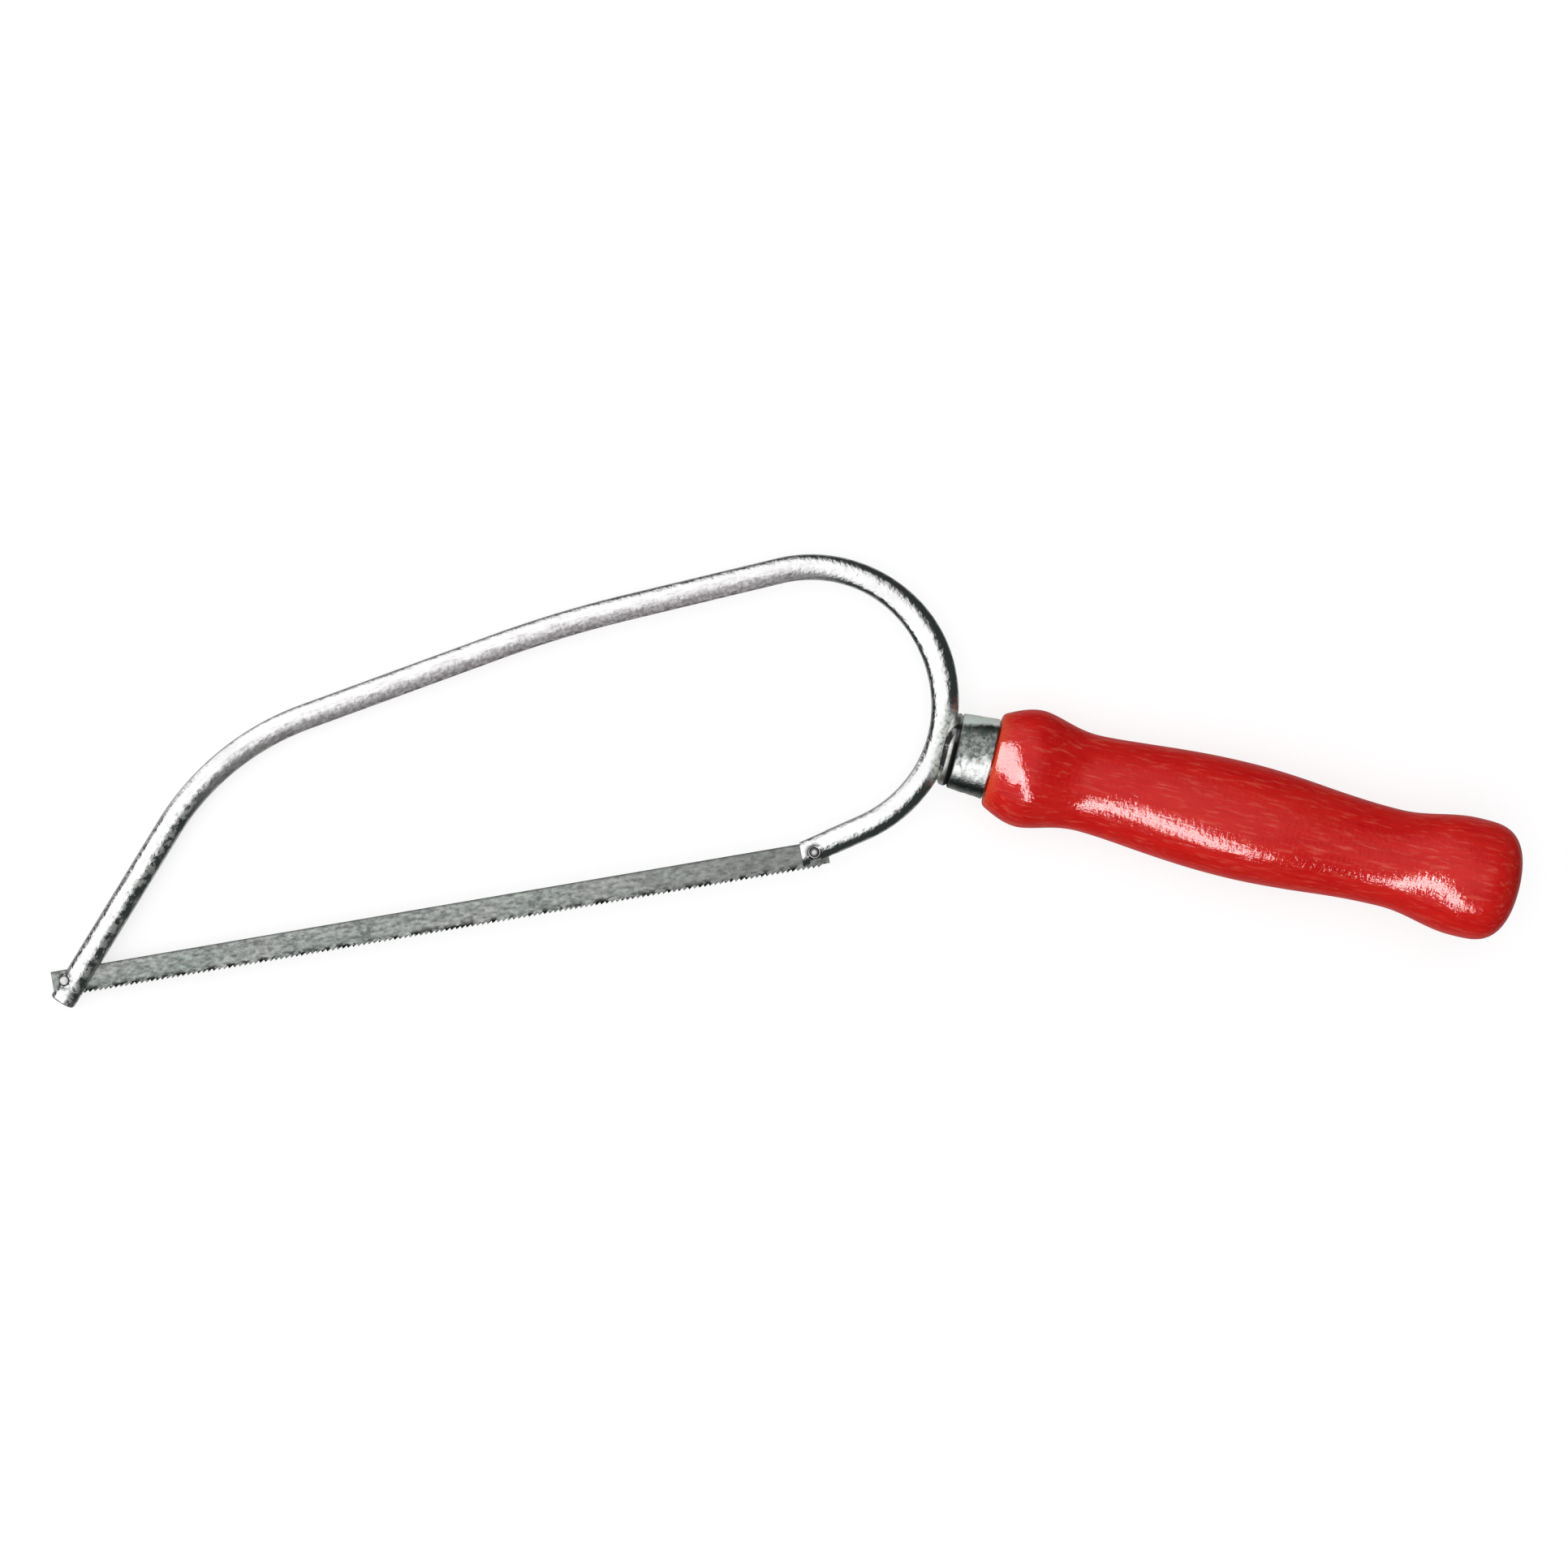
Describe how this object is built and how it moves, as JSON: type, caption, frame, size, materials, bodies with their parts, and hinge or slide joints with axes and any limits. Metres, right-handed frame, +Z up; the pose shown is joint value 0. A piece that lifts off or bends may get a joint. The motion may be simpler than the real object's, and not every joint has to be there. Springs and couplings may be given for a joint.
{
  "type": "mini hacksaw",
  "caption": "Small hacksaw with a bow of bent plated rod, a narrow pinned blade that unhooks and swings out, and a turned red wooden handle in a plated ferrule.",
  "frame": {"origin": "middle of the footprint box, on the surface that the saw lies on", "axes": "+X along the blade from the bow's tip towards the handle, +Y from the teeth towards the bow's rail, +Z up, square to the side that the saw lies on"},
  "size_m": [0.2802, 0.0938, 0.0292],
  "materials": {
    "bright_plate": "bright plated",
    "collar_plate": "bright plated",
    "ferrule_plate": "bright plated",
    "blade_steel": "satin",
    "pin_steel": "satin",
    "tang_steel": "matt",
    "red_lacquer": "gloss lacquer"
  },
  "bodies": {
    "frame": {"bow": "bright_plate", "tang": "tang_steel", "collar": "collar_plate", "ferrule": "ferrule_plate", "handle": "red_lacquer"},
    "blade": {"blade": "blade_steel", "front_blade_pin": "pin_steel", "rear_blade_pin": "pin_steel"}
  },
  "joints": [
    {"name": "blade_swing", "type": "hinge", "parent": "frame", "child": "blade", "pos_m": [-0.13712, -0.00976, 0.00361], "axis": [0.045, -0.0793, -0.9958], "range_deg": [0, 60]}
  ]
}
